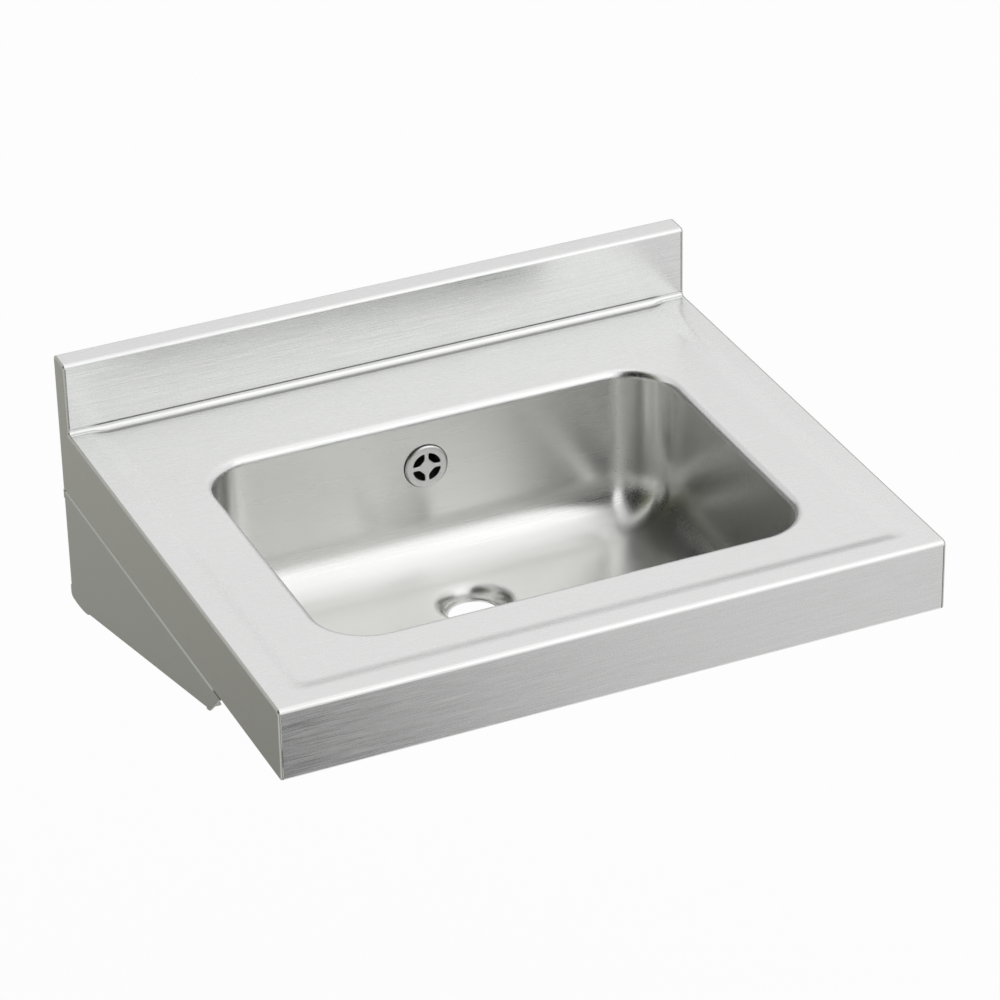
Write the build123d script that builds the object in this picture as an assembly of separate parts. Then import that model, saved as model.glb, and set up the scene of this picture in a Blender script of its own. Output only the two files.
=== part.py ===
from build123d import *
import math
import os

# Wall-hung stainless steel lavatory with a drawn bowl, a backsplash, a front apron, plain end
# panels and a support bracket under each end.
# Frame: X to the right for someone standing at the bowl, Y towards the wall with the wall face
# at y = 0, Z up with the raised edge of the deck at z = 0. All sizes are in millimetres.

# Overall size
width = 558.8
depth = 482.6
height = 228.6
backsplash_height = 63.5
backsplash_depth = 22.2
apron_height = 61.9

# Sheet and bends of the shell, outside radii
sheet = 1.2
apron_top_radius = 4.0
apron_bottom_radius = 2.4
backsplash_top_radius = 3.5
backsplash_rear_radius = 2.4
end_edge_radius = 2.0
cove_radius = 7.5
return_width = 16.0
rear_flange_bottom = 24.0
seam_gap = 0.6
notch_gap = 1.0

# Shallow recess of the deck inside its raised edge
deck_recess = 2.0
raised_edge = 17.5
ramp_width = 17.0
recess_corner = 10.0

# Bowl
bowl_width = 406.4
bowl_length = 292.1
bowl_front_ledge = 73.0
bowl_depth = 139.7
bowl_corner = 44.45
rim_radius = 7.1
floor_radius = 38.1
wall_draft = 1.0

# Drain hole and its swaged seat
drain_radius = 22.225
drain_from_wall = 203.2
drain_seat_depth = 4.8
drain_seat_flat = 24.5
drain_seat_edge = 33.5

# Overflow in the rear wall of the bowl
overflow_x = -4.4
overflow_drop = 48.6
overflow_hole_radius = 15.5
grille_radius = 19.0
grille_thickness = 1.8
grille_edge_radius = 1.2
petal_radius = 12.6
petal_hub = 6.5
petal_hub_curve = 4.2
petal_arm = 3.6
sleeve_radius = 14.0
sleeve_wall = 1.2
sleeve_clearance = 0.3
seal_thickness = 0.8
seal_margin = 0.4
gasket_thickness = 3.0
elbow_flange_radius = 20.0
elbow_flange = 3.0
elbow_body_radius = 17.0
elbow_body_length = 26.0
elbow_wall = 2.0
spigot_radius = 9.5
spigot_wall = 2.0
spigot_neck_radius = 11.2
spigot_below_flange = 20.0

# Support brackets
bracket_sheet = 1.9
bracket_bend = 2.5
bracket_nose_top = 357.6
bracket_nose_bottom = 331.7
bracket_nose_height = 25.0
bracket_nose_slit = 0.8
bracket_nose_plain = 16.0
bracket_toe_radius = 114.3
bracket_toe_from_wall = 12.7
bracket_toe_corner = 4.0
bracket_shelf = 16.0
bracket_slope_flange = 12.0
bracket_slope_relief = 6.0
wall_flange = 34.0
wall_flange_drop = 8.0
wall_flange_height = 84.0
anchor_radius = 3.6
anchor_from_side = 19.0
anchor_from_end = 14.0

# Bracket bolts and nuts
bolt_radius = 2.5
bolt_clearance = 0.25
bolt_head_width = 8.0
bolt_head_height = 3.5
bolt_thread = 7.5
nut_height = 4.0
nut_clearance = 0.1
bolt_first = 60.0
bolt_pitch = 120.0
bolt_count = 3

# Wall hanger
hanger_sheet = 2.0
hanger_below_shoulder = 38.0
hanger_lip = 16.0
hanger_play = 0.5
hanger_hole_radius = 3.6
hanger_slot_length = 20.0
hanger_slot_spacing = 406.4
hanger_past_slots = 25.4
hanger_hole_spacing = 152.4
hanger_hole_drop = 24.0

# Sound-deadening pads under the floor of the bowl
pad_thickness = 2.0
pad_width = 95.0
pad_length = 170.0
pad_corner = 8.0
pad_from_drain = 12.0

# Levels and planes worked out from the sizes above
half_width = width / 2
bracket_depth = height - backsplash_height
panel_plane = half_width - end_edge_radius
panel_bottom = -apron_height
return_edge = half_width - return_width
deck_level = -deck_recess
recess_half = half_width - raised_edge - ramp_width
recess_front = raised_edge + ramp_width - depth
rim_bottom = deck_level - rim_radius
floor_level = deck_level - bowl_depth
bowl_back = -depth + bowl_front_ledge + bowl_length
bowl_middle = bowl_back - bowl_length / 2
overflow_level = -overflow_drop
bolt_x = (return_edge + panel_plane - sheet) / 2
shelf_front = bracket_nose_plain - bracket_nose_top
hanger_length = hanger_slot_spacing + 2 * hanger_past_slots
far = 2 * (width + depth)


def slab(x0, x1, y0, y1, z0, z1):
    """A box given by its limits along X, Y and Z."""
    return Pos(x0, y0, z0) * Box(x1 - x0, y1 - y0, z1 - z0, align=Align.MIN)


def disc(radius, thickness):
    """A round plate standing on its plane."""
    return Cylinder(radius, thickness, align=(Align.CENTER, Align.CENTER, Align.MIN))


def ring(outer, inner, thickness):
    """A flat ring standing on its plane."""
    return disc(outer, thickness) - disc(inner, thickness)


def mirrored(solid):
    """The solid's mirror image in the middle plane."""
    return mirror(solid, about=Plane.YZ)


def rounded_polygon(corners, radii):
    """A closed polygon with its own radius at each corner, zero for a sharp one."""
    face = make_face(Polyline(*corners, close=True))
    for corner, radius in zip(corners, radii):
        if radius > 0:
            nearest = face.vertices().sort_by_distance(Vector(*corner))[0]
            face = fillet(nearest, radius)
    return face


# Shell of deck, apron, backsplash and end panels


def shell_section(inset):
    """Side view of the closed shell, moved inwards by inset, as a face on the YZ plane."""
    splash_y = inset - backsplash_depth
    corners = [
        (-inset, inset - apron_height),
        (inset - depth, inset - apron_height),
        (inset - depth, -inset),
        (splash_y, -inset),
        (splash_y, backsplash_height - inset),
        (-inset, backsplash_height - inset),
    ]
    radii = [
        apron_bottom_radius - inset,
        apron_bottom_radius - inset,
        apron_top_radius - inset,
        cove_radius + inset,
        backsplash_top_radius - inset,
        backsplash_rear_radius - inset,
    ]
    return Plane.YZ * rounded_polygon(corners, radii)


def recess_tool(inset):
    """The space above the recessed deck and its cove, moved down and back by inset."""
    radius = cove_radius + deck_recess
    centre = (-backsplash_depth - radius, deck_level + radius)
    cove = CenterArc(centre, radius + inset, -90, 90)
    low = deck_level - inset
    high = deck_level + 2 * radius
    start = cove @ 0
    end = cove @ 1
    edge = Polyline((end.X, end.Y), (end.X, high), (-far, high), (-far, low), (start.X, start.Y))
    across = extrude(Plane.YZ * make_face(cove + edge), width, both=True)
    return across & recess_taper(low, high)


def recess_taper(low, high):
    """A block whose sides lean out from the recess to the raised edge at the slope of the ramp."""
    plans = []
    for rise in (0, high - low):
        spread = rise * ramp_width / deck_recess
        front = recess_front - spread
        plan = RectangleRounded(2 * (recess_half + spread), depth - front, recess_corner + rise)
        plans.append(Pos(0, (depth + front) / 2, low + rise) * plan)
    return loft(plans, ruled=True)


def bowl_outline(grow):
    """Plan of the walls of the bowl at the weld, grown by grow."""
    plan = RectangleRounded(bowl_width + 2 * grow, bowl_length + 2 * grow, bowl_corner + grow)
    return Pos(0, bowl_middle, rim_bottom) * plan


def rim_block(top, grow, radius):
    """A ring round the bowl with its inner top edge rounded, standing below the weld."""
    height = top - rim_bottom
    block = extrude(bowl_outline(rim_radius + sheet), height)
    block += extrude(bowl_outline(rim_radius + sheet), -radius)
    block -= extrude(bowl_outline(grow), height + radius, both=True)
    edge = block.faces().sort_by(Axis.Z)[-1].inner_wires()[0].edges()
    return fillet(edge, radius)


def rolled_rim():
    """The edge of the deck's opening, rolled down to the weld with the bowl."""
    rim = rim_block(deck_level, 0, rim_radius)
    rim -= rim_block(deck_level - sheet, sheet, rim_radius - sheet)
    return rim - slab(-far, far, -far, far, -far, rim_bottom)


def deck_sheet():
    """Deck, apron, backsplash, top return and rear flange, folded from one sheet."""
    body = extrude(shell_section(0), panel_plane, both=True) - recess_tool(0)
    body -= extrude(shell_section(sheet), panel_plane, both=True) - recess_tool(sheet)
    body -= extrude(bowl_outline(rim_radius + sheet), far)
    body += rolled_rim()
    inside = panel_bottom + apron_bottom_radius
    body -= slab(-far, far, return_width - depth, far, -far, inside)
    body -= slab(-far, far, -backsplash_depth / 2, far, -far, rear_flange_bottom)
    for cut in (return_notch(), apron_seam(), backsplash_seam()):
        body -= cut
        body -= mirrored(cut)
    return body


def return_notch():
    """Corner of the apron's return that makes way for the return of the end panel."""
    front = apron_bottom_radius - depth
    top = panel_bottom + apron_bottom_radius
    return slab(return_edge - notch_gap, far, front, far, -far, top)


def apron_seam():
    """Narrow gap between the apron and the end panel."""
    back = apron_top_radius - depth
    return slab(panel_plane - seam_gap, far, -far, back, -far, -apron_top_radius)


def backsplash_seam():
    """Narrow gap between the face of the backsplash and the end panel."""
    low = cove_radius + sheet
    high = backsplash_height - backsplash_top_radius
    back = sheet - backsplash_depth
    return slab(panel_plane - seam_gap, far, back - 2 * sheet, back, low, high)


def end_block(inset):
    """The right end of the closed shell, moved inwards by inset, with its outer edges rounded."""
    length = half_width - inset - return_edge
    block = extrude(Pos(return_edge, 0, 0) * shell_section(inset), length)
    end = block.faces().sort_by(Axis.X)[-1]
    return fillet(end.edges(), end_edge_radius - inset)


def right_end_panel():
    """End panel with a rounded edge all round, a return below and a flange at the wall."""
    panel = end_block(0) - end_block(sheet)
    panel &= slab(panel_plane, far, -far, far, -far, far)
    front = return_width + notch_gap - depth
    top = panel_bottom + sheet
    panel += slab(return_edge, panel_plane, front, -apron_bottom_radius, panel_bottom, top)
    flange_bottom = panel_bottom + apron_bottom_radius
    flange_top = rear_flange_bottom - notch_gap
    panel += slab(return_edge, panel_plane, -sheet, 0, flange_bottom, flange_top)
    return panel - bolt_holes()


def bolt_places():
    """Y values of the bracket bolts."""
    return [-bolt_first - i * bolt_pitch for i in range(bolt_count)]


def bolt_holes():
    """Upright holes for the bracket bolts, through the panel's return and the bracket's shelf."""
    hole = Cylinder(bolt_radius + bolt_clearance, 4 * (sheet + bracket_sheet))
    return [Pos(bolt_x, y, panel_bottom) * hole for y in bolt_places()]


# Bowl


def bowl_space(grow):
    """The space inside the bowl, grown by grow: drafted walls and a coved floor."""
    height = rim_bottom - floor_level + grow
    space = extrude(bowl_outline(grow), height, dir=(0, 0, -1), taper=wall_draft)
    floor = space.faces().sort_by(Axis.Z)[0]
    return fillet(floor.edges(), floor_radius + grow)


def drain_seat():
    """Swaged ring round the drain hole: two tangent arcs lead from the floor down to the seat."""
    run = drain_seat_edge - drain_seat_flat
    sweep = 2 * math.atan2(drain_seat_depth, run)
    radius = run / (2 * math.sin(sweep))
    turn = math.degrees(sweep)
    low = (drain_seat_flat, radius - drain_seat_depth)
    high = (drain_seat_edge, -radius)
    top = CenterArc(low, radius, -90, turn) + CenterArc(high, radius, 90 + turn, -turn)
    under = CenterArc(low, radius + sheet, -90, turn)
    under += CenterArc(high, radius - sheet, 90 + turn, -turn)
    seat = -drain_seat_depth
    inner = Polyline(
        (drain_seat_flat, seat),
        (drain_radius, seat),
        (drain_radius, seat - sheet),
        (drain_seat_flat, seat - sheet),
    )
    outer = Line((drain_seat_edge, 0), (drain_seat_edge, -sheet))
    section = Plane.XZ * make_face(top + under + inner + outer)
    return Pos(0, -drain_from_wall, floor_level) * revolve(section, Axis.Z)


def bowl():
    """Drawn pan with a swaged drain seat, a drain hole and an overflow hole."""
    pan = bowl_space(sheet) - bowl_space(0)
    pan -= Pos(0, -drain_from_wall, floor_level) * Cylinder(drain_seat_edge, 4 * sheet)
    pan += drain_seat()
    return pan - overflow_plane() * Cylinder(overflow_hole_radius, 4 * sheet)


# Overflow


def overflow_plane():
    """Plane on the inner face of the rear wall: Z points into the bowl and Y up the wall."""
    lean = math.radians(wall_draft)
    y = bowl_back - (rim_bottom - overflow_level) * math.tan(lean)
    normal = (0, -math.cos(lean), math.sin(lean))
    return Plane(origin=(overflow_x, y, overflow_level), x_dir=(1, 0, 0), z_dir=normal)


def on_overflow(height, solid):
    """Places a solid on the axis of the overflow, at a height above the wall's inner face."""
    return overflow_plane() * (Pos(0, 0, height) * solid)


def petal():
    """One of the four openings of the grille: a quarter disc with its inner corners eased."""
    arm = petal_arm / 2
    reach = petal_hub + arm
    quarter = Circle(petal_radius) & (Pos(arm + far / 2, arm + far / 2) * Rectangle(far, far))
    opening = quarter - make_face(Polyline((0, 0), (reach, 0), (0, reach), close=True))
    low = opening.vertices().group_by(Axis.Y)[0].sort_by(Axis.X)[0]
    left = opening.vertices().group_by(Axis.X)[0].sort_by(Axis.Y)[0]
    return fillet([low, left], petal_hub_curve)


def overflow_grille():
    """Cover with four petal openings, a rounded edge and a sleeve that screws into the elbow."""
    plate = disc(grille_radius, grille_thickness)
    plate = fillet(plate.faces().sort_by(Axis.Z)[-1].edges(), grille_edge_radius)
    opening = extrude(petal(), 2 * grille_thickness)
    for quarter in range(4):
        plate -= Rot(0, 0, 90 * quarter) * opening
    reach = seal_thickness + sheet + gasket_thickness + elbow_flange
    sleeve = Pos(0, 0, -reach) * ring(sleeve_radius, sleeve_radius - sleeve_wall, reach)
    return on_overflow(seal_thickness, plate + sleeve)


def overflow_front_seal():
    """Thin rubber ring between the grille and the wall of the bowl."""
    inner = sleeve_radius + sleeve_clearance
    return on_overflow(0, ring(grille_radius + seal_margin, inner, seal_thickness))


def overflow_gasket():
    """Rubber ring behind the wall of the bowl."""
    inner = sleeve_radius + sleeve_clearance
    gasket = ring(elbow_flange_radius, inner, gasket_thickness)
    return on_overflow(-sheet - gasket_thickness, gasket)


def overflow_elbow():
    """Moulded elbow: a flange on the gasket, a round chamber and a necked spigot pointing down."""
    flange = Pos(0, 0, -elbow_flange) * disc(elbow_flange_radius, elbow_flange)
    chamber = Pos(0, 0, -elbow_body_length) * disc(elbow_body_radius, elbow_body_length)
    chamber = fillet(chamber.faces().sort_by(Axis.Z)[0].edges(), elbow_wall)
    bore = disc(sleeve_radius + sleeve_clearance, elbow_body_length)
    down = Pos(0, 0, elbow_wall + spigot_radius - elbow_body_length) * Rot(90, 0, 0)
    neck = down * disc(spigot_neck_radius, elbow_flange_radius)
    length = elbow_flange_radius + spigot_below_flange
    elbow = flange + chamber + neck + down * disc(spigot_radius, length)
    elbow -= Pos(0, 0, elbow_wall - elbow_body_length) * bore
    elbow -= down * disc(spigot_radius - spigot_wall, length)
    return on_overflow(-sheet - gasket_thickness, elbow)


# Support brackets


def slope():
    """Start, angle and length of the bracket's sloping edge, which ends tangent to its toe."""
    nose = (-bracket_nose_bottom, panel_bottom - bracket_nose_height)
    run = -bracket_toe_from_wall - nose[0]
    rise = bracket_toe_radius - bracket_depth - nose[1]
    distance = math.hypot(run, rise)
    angle = math.atan2(rise, run) - math.asin(bracket_toe_radius / distance)
    length = math.sqrt(distance**2 - bracket_toe_radius**2)
    return nose, angle, length


def along_slope(distance):
    """The point of the sloping edge at a distance from its start."""
    nose, angle, length = slope()
    return nose[0] + distance * math.cos(angle), nose[1] + distance * math.sin(angle)


def bracket_outline():
    """Side view of the bracket's plate on the YZ plane."""
    nose, angle, length = slope()
    tangent = along_slope(length)
    centre_z = bracket_toe_radius - bracket_depth
    end_z = centre_z - math.sqrt(bracket_toe_radius**2 - bracket_toe_from_wall**2)
    toe = ThreePointArc(tangent, (-bracket_toe_from_wall, -bracket_depth), (0, end_z))
    top = (-bracket_nose_top, panel_bottom)
    edge = Polyline((0, end_z), (0, panel_bottom), top, nose, tangent)
    face = make_face(toe + edge)
    corner = face.vertices().sort_by_distance(Vector(0, end_z))[0]
    return Plane.YZ * fillet(corner, bracket_toe_corner)


def bend_section(flange):
    """Section of a bent edge: the outer corner at the origin and the flange along minus X."""
    inner = -bracket_sheet
    leg = -bracket_bend - bracket_sheet
    corners = [(0, 0), (-flange, 0), (-flange, inner), (inner, inner), (inner, leg), (0, leg)]
    radii = [bracket_bend, 0, 0, bracket_bend - bracket_sheet, 0, 0]
    return rounded_polygon(corners, radii)


def bend_edge(plate, start, direction, length, flange):
    """Bends a flange inwards along an edge of the plate, given in the YZ plane."""
    plane = Plane(origin=(half_width, *start), x_dir=(1, 0, 0), z_dir=(0, *direction))
    corner = Rectangle(3 * bracket_sheet, 2 * bracket_bend)
    plate -= extrude(plane * corner, length)
    return plate + extrude(plane * bend_section(flange), length)


def right_support_bracket():
    """Plate under the end panel, bent to a shelf, a wall flange and a stiffened lower edge."""
    body = extrude(Pos(half_width - bracket_sheet, 0, 0) * bracket_outline(), bracket_sheet)
    body -= slab(0, far, -far, shelf_front, panel_bottom - bracket_nose_slit, far)
    shelf_length = -bracket_bend - shelf_front
    body = bend_edge(body, (-bracket_bend, panel_bottom), (-1, 0), shelf_length, bracket_shelf)
    low = panel_bottom - wall_flange_drop - wall_flange_height
    body = bend_edge(body, (0, low), (0, 1), wall_flange_height, wall_flange)
    nose, angle, length = slope()
    direction = (math.cos(angle), math.sin(angle))
    start = along_slope(bracket_slope_relief)
    bend_length = length - bracket_slope_relief
    body = bend_edge(body, start, direction, bend_length, bracket_slope_flange)
    for z in anchor_levels():
        hole = Rot(90, 0, 0) * Cylinder(anchor_radius, 4 * bracket_sheet)
        body -= Pos(half_width - anchor_from_side, 0, z) * hole
    return body - bolt_holes()


def anchor_levels():
    """Heights of the wall screws in the bracket's wall flange."""
    top = panel_bottom - wall_flange_drop - anchor_from_end
    return [top, top - wall_flange_height + 2 * anchor_from_end]


# Bracket bolts and nuts


def hexagon(across_flats, height):
    """A hexagonal prism standing on its plane."""
    return extrude(RegularPolygon(across_flats / 2, 6, major_radius=False), height)


def right_bracket_bolts():
    """Hexagon bolts with their heads below the bracket's shelf."""
    seat = panel_bottom - bracket_sheet
    shank = disc(bolt_radius, bracket_sheet + sheet + bolt_thread)
    head = Pos(0, 0, -bolt_head_height) * hexagon(bolt_head_width, bolt_head_height)
    return Compound([Pos(bolt_x, y, seat) * (shank + head) for y in bolt_places()])


def right_bracket_nuts():
    """Hexagon nuts on the return of the end panel."""
    seat = panel_bottom + sheet
    nut = hexagon(bolt_head_width, nut_height) - disc(bolt_radius + nut_clearance, nut_height)
    return Compound([Pos(bolt_x, y, seat) * nut for y in bolt_places()])


# Wall hanger


def wall_hanger():
    """Joggled strip: its lower part is screwed to the wall, its lip stands off for the flange."""
    shoulder = rear_flange_bottom
    offset = sheet + hanger_play
    front = -offset - hanger_sheet
    section = [
        (0, shoulder - hanger_below_shoulder),
        (-hanger_sheet, shoulder - hanger_below_shoulder),
        (-hanger_sheet, shoulder - hanger_sheet - offset),
        (front, shoulder - hanger_sheet),
        (front, shoulder + hanger_lip),
        (-offset, shoulder + hanger_lip),
        (-offset, shoulder),
        (0, shoulder),
    ]
    face = Plane.YZ * make_face(Polyline(*section, close=True))
    strip = extrude(face, hanger_length / 2, both=True)
    slot = SlotOverall(hanger_slot_length, 2 * hanger_hole_radius)
    hole = Circle(hanger_hole_radius)
    level = shoulder - hanger_hole_drop
    for spacing, shape in ((hanger_slot_spacing, slot), (hanger_hole_spacing, hole)):
        cut = Pos(spacing / 2, 0, level) * extrude(Plane.XZ * shape, 2 * hanger_sheet, both=True)
        strip -= cut
        strip -= mirrored(cut)
    return strip


# Sound-deadening pads


def right_floor_pad():
    """Rubber pad stuck under the floor of the bowl, beside the drain."""
    x = drain_seat_edge + pad_from_drain + pad_width / 2
    top = floor_level - sheet
    plan = Pos(x, bowl_middle, top) * RectangleRounded(pad_width, pad_length, pad_corner)
    return extrude(plan, -pad_thickness)


single_pieces = [
    deck_sheet,
    bowl,
    overflow_grille,
    overflow_front_seal,
    overflow_gasket,
    overflow_elbow,
    wall_hanger,
]
paired_pieces = [
    right_end_panel,
    right_support_bracket,
    right_bracket_bolts,
    right_bracket_nuts,
    right_floor_pad,
]

os.makedirs("parts", exist_ok=True)
for piece in single_pieces:
    export_step(piece(), f"parts/{piece.__name__}.step")
for piece in paired_pieces:
    right = piece()
    left_name = piece.__name__.replace("right", "left")
    export_step(right, f"parts/{piece.__name__}.step")
    export_step(mirrored(right), f"parts/{left_name}.step")
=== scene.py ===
# %% [markdown]
# # A wall-hung stainless steel lavatory
# The lavatory is a sheet-metal product. One folded sheet makes the deck, the apron and the
# backsplash, a drawn bowl is welded into it, and two end panels and two brackets close its ends.
# A plain model of that construction, the frame, is loaded first, and it gives the outside sizes and
# the place of every piece. The sheet metal is then made again here as smooth surfaces, and every
# piece gets its finish.

# %% Load the frame
import math

import bmesh
import bpy
import numpy as np
from mathutils import Matrix, Vector


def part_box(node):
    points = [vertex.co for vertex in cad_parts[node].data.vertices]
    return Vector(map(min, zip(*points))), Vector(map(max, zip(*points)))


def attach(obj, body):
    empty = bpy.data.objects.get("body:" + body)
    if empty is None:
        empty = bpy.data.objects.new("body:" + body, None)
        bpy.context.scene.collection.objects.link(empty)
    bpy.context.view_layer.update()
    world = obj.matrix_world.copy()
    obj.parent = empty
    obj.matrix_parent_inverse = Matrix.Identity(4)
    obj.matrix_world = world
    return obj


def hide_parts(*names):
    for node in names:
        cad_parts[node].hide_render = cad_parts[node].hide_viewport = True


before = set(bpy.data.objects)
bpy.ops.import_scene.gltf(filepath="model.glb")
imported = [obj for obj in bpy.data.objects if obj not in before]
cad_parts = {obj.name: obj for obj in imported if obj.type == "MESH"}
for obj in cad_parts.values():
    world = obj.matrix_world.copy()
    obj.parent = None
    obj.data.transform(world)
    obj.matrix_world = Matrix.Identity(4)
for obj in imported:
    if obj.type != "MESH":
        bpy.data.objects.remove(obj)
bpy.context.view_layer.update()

mm = 0.001

# %% [markdown]
# ## Outside sizes
# A sheet-metal drawing gives a few outside sizes and the bend radii, and all else follows from
# them. The outside sizes could be typed in again, but they would part from the frame when it
# changes. So they are read from the boxes of its pieces, and only what a box can't tell is a
# named value.

# %% Outside sizes
deck_low, deck_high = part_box("deck_sheet")
panel_low, panel_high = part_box("right_end_panel")
front, foot, crest = deck_low.y, deck_low.z, deck_high.z
panel_plane = deck_high.x
return_edge, half_width = panel_low.x, panel_high.x
outside = {"half width": half_width, "front": front, "foot": foot, "crest": crest}
print("Outside sizes in mm:", {name: round(size / mm, 1) for name, size in outside.items()})

# %% [markdown]
# ## Curves and grids
# A folded or drawn sheet has a section that changes little along its length, so its surface is a
# grid: one parameter runs along the section and the other across it. Extrude and bevel could make
# it step by step in the editor, but as whole arrays every bend stays a formula that can be changed.
# Where the sheet has an opening, a block of cells is left out of the grid, and rings of points lead
# from the block's edge to the opening's edge.

# %% Paths
def arc(centre, radius, start, end, steps):
    """Points on a circle: centre plus radius times (cos, sin), in equal steps of the angle."""
    angle = np.radians(np.linspace(start, end, steps + 1))
    return np.stack([centre[0] + radius * np.cos(angle), centre[1] + radius * np.sin(angle)], 1)


def line(start, end, steps):
    """Points on a straight line in equal steps."""
    share = np.linspace(0, 1, steps + 1)[:, None]
    return (1 - share) * np.array(start) + share * np.array(end)


def joined(*pieces):
    """One path from several that meet end to start, with each shared point kept once."""
    return np.concatenate([pieces[0]] + [piece[1:] for piece in pieces[1:]])


def spaced(stops, steps):
    """Grid lines from stop to stop, each stretch divided into its own number of equal steps."""
    return joined(*[np.linspace(a, b, n + 1) for a, b, n in zip(stops[:-1], stops[1:], steps)])


def circle(steps):
    """Unit directions round a circle, anticlockwise from the first axis."""
    return arc((0, 0), 1, 0, 360, steps)[:-1]


print("A quarter bend in two steps:", arc((0, 0), 1, 0, 90, 2).round(3).tolist())


# %% Grids
def numbered(points, first=0):
    """Vertex numbers of a grid of points, row after row, from a first number."""
    rows, columns = points.shape[:2]
    return first + np.arange(rows * columns).reshape(rows, columns)


def wrapped(index):
    """An index grid that closes round: its first column comes again after its last."""
    return np.hstack([index, index[:, :1]])


def grid_faces(index, keep=None):
    """Quads between the rows and columns of an index grid. keep is False where a cell is cut out."""
    quads = np.stack([index[:-1, :-1], index[:-1, 1:], index[1:, 1:], index[1:, :-1]], -1)
    return quads.reshape(-1, 4) if keep is None else quads[keep]


def at_level(plan, level):
    """Points in plan lifted to one level, or each to its own."""
    return np.column_stack([plan, np.broadcast_to(level, len(plan))])


# %% Openings in a grid
def nearest(lines, value):
    """Number of the grid line at a value."""
    return int(np.argmin(np.abs(np.asarray(lines) - value)))


def block_border(index, rows, columns):
    """Vertex numbers round a block of the index grid, from its first row and column onwards."""
    (r0, r1), (c0, c1) = rows, columns
    sides = [index[r0, c0:c1], index[r0:r1, c1], index[r1, c1:c0:-1], index[r1:r0:-1, c0]]
    return np.concatenate(sides)


def ring_faces(border, rings, first):
    """Quads from a border's vertices through rings of new vertices that start at a first number."""
    return grid_faces(wrapped(np.vstack([border, numbered(np.array(rings), first)])))


# %% [markdown]
# ## From points to a piece
# Only the visible side of a sheet is worked out. A second, offset grid could be its other side,
# but Solidify does that with one number, the gauge, as a real sheet has one gauge everywhere.
# Bends are shaded smooth and cut edges stay sharp, which an angle tells apart. Weighted normals
# let the large flats keep their own direction, so a flat doesn't look pillowed beside a bend.

# %% Pieces
def settle(piece):
    """Applies the piece's modifiers and keeps the result as its mesh."""
    depsgraph = bpy.context.evaluated_depsgraph_get()
    done = bpy.data.meshes.new_from_object(piece.evaluated_get(depsgraph))
    done.name = piece.name
    piece.modifiers.clear()
    piece.data = done


def new_piece(name, points, faces):
    """A mesh object at the origin from points and faces, riding on the one body."""
    mesh = bpy.data.meshes.new(name)
    mesh.from_pydata(np.asarray(points).tolist(), [], [list(map(int, face)) for face in faces])
    mesh.validate()
    piece = bpy.data.objects.new(name, mesh)
    bpy.context.scene.collection.objects.link(piece)
    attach(piece, "root")
    return piece


# %% Shading and gauge
sharp_from = math.radians(32)


def smooth(piece):
    """Smooth shading with sharp edges past the angle, and flat stretches that stay flat."""
    piece.data.shade_smooth()
    piece.data.set_sharp_from_angle(angle=sharp_from)
    weighted = piece.modifiers.new("Flat stretches stay flat", "WEIGHTED_NORMAL")
    weighted.keep_sharp = True
    weighted.weight = 100
    settle(piece)
    print(piece.name, "has", len(piece.data.polygons), "faces")


def give_gauge(piece, gauge):
    """Thickens the sheet behind its visible side."""
    solidify = piece.modifiers.new("Gauge", "SOLIDIFY")
    solidify.thickness = gauge
    solidify.offset = -1
    solidify.use_even_offset = True
    settle(piece)
    smooth(piece)


# %% [markdown]
# ## The folded deck sheet
# A brake folds the return, the apron, the deck, the backsplash, its top and the rear flange from one
# sheet, and a press sets the middle of the deck 2 mm lower, so that splashes run back into the
# bowl. A box with bevelled edges would do for the folds, but the recess runs out into the cove,
# which no bevel follows. So the section along Y and Z is drawn twice, with the deck at the raised
# edge and at the recess, and each point of the sheet is a blend of the two.

# %% Gauge, bends and seams
sheet = 1.2 * mm
apron_top_radius = 4.0 * mm
apron_bottom_radius = 2.4 * mm
backsplash_face = -22.2 * mm
backsplash_top_radius = 3.5 * mm
backsplash_rear_radius = 2.4 * mm
cove_radius = 2.5 * mm
return_width = 16.0 * mm
rear_flange_bottom = 24.0 * mm
seam_gap = 0.6 * mm
notch_gap = 1.0 * mm
face_foot = cove_radius + 2 * sheet
print("The sheet is", round(sheet / mm, 1), "mm thick, and the cove's radius", round(cove_radius / mm, 1))

# %% Recess
deck_recess = 2.0 * mm
raised_edge = 17.5 * mm
ramp_width = 17.0 * mm
recess_corner = 10.0 * mm
recess_half = half_width - raised_edge - ramp_width
recess_front = front + raised_edge + ramp_width
print("The recess is", round(2 * recess_half / mm, 1), "mm wide at its floor")

# %% Plan of the bowl and its opening
bowl_low, bowl_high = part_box("bowl")
bowl_front, bowl_back = bowl_low.y + sheet, bowl_high.y - sheet
bowl_middle = (bowl_front + bowl_back) / 2
bowl_corner = 44.45 * mm
rim_radius = 7.1 * mm
skeleton_x = bowl_high.x - sheet - bowl_corner
skeleton_y = (bowl_back - bowl_front) / 2 - bowl_corner
print("The bowl is", round((bowl_back - bowl_front) / mm, 1), "mm from front to back")

# %% [markdown]
# ### The section
# The brake leaves a fine mark on each side of the cove, where the die's edges pressed. Each mark is
# a small groove in the section. The lines across the deck stop at the recess, at the block that is
# left out for the bowl, and at the bowl's straight sides, so that the rim's rings meet them.

# %% Bend marks and the block for the bowl
mark_width = 1.6 * mm
mark_depth = 0.85 * mm
mark_lip = 0.1 * mm
mark_along = mark_width * np.array([0, 3 / 16, 1 / 2, 13 / 16, 1])
mark_into = np.array([0, mark_lip, mark_depth, mark_lip, 0])
block_x = 225.0 * mm
block_front = -432.0 * mm
block_back = -96.0 * mm
deck_steps = [3, 14, 3, 14, 10, 14, 6]


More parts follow.
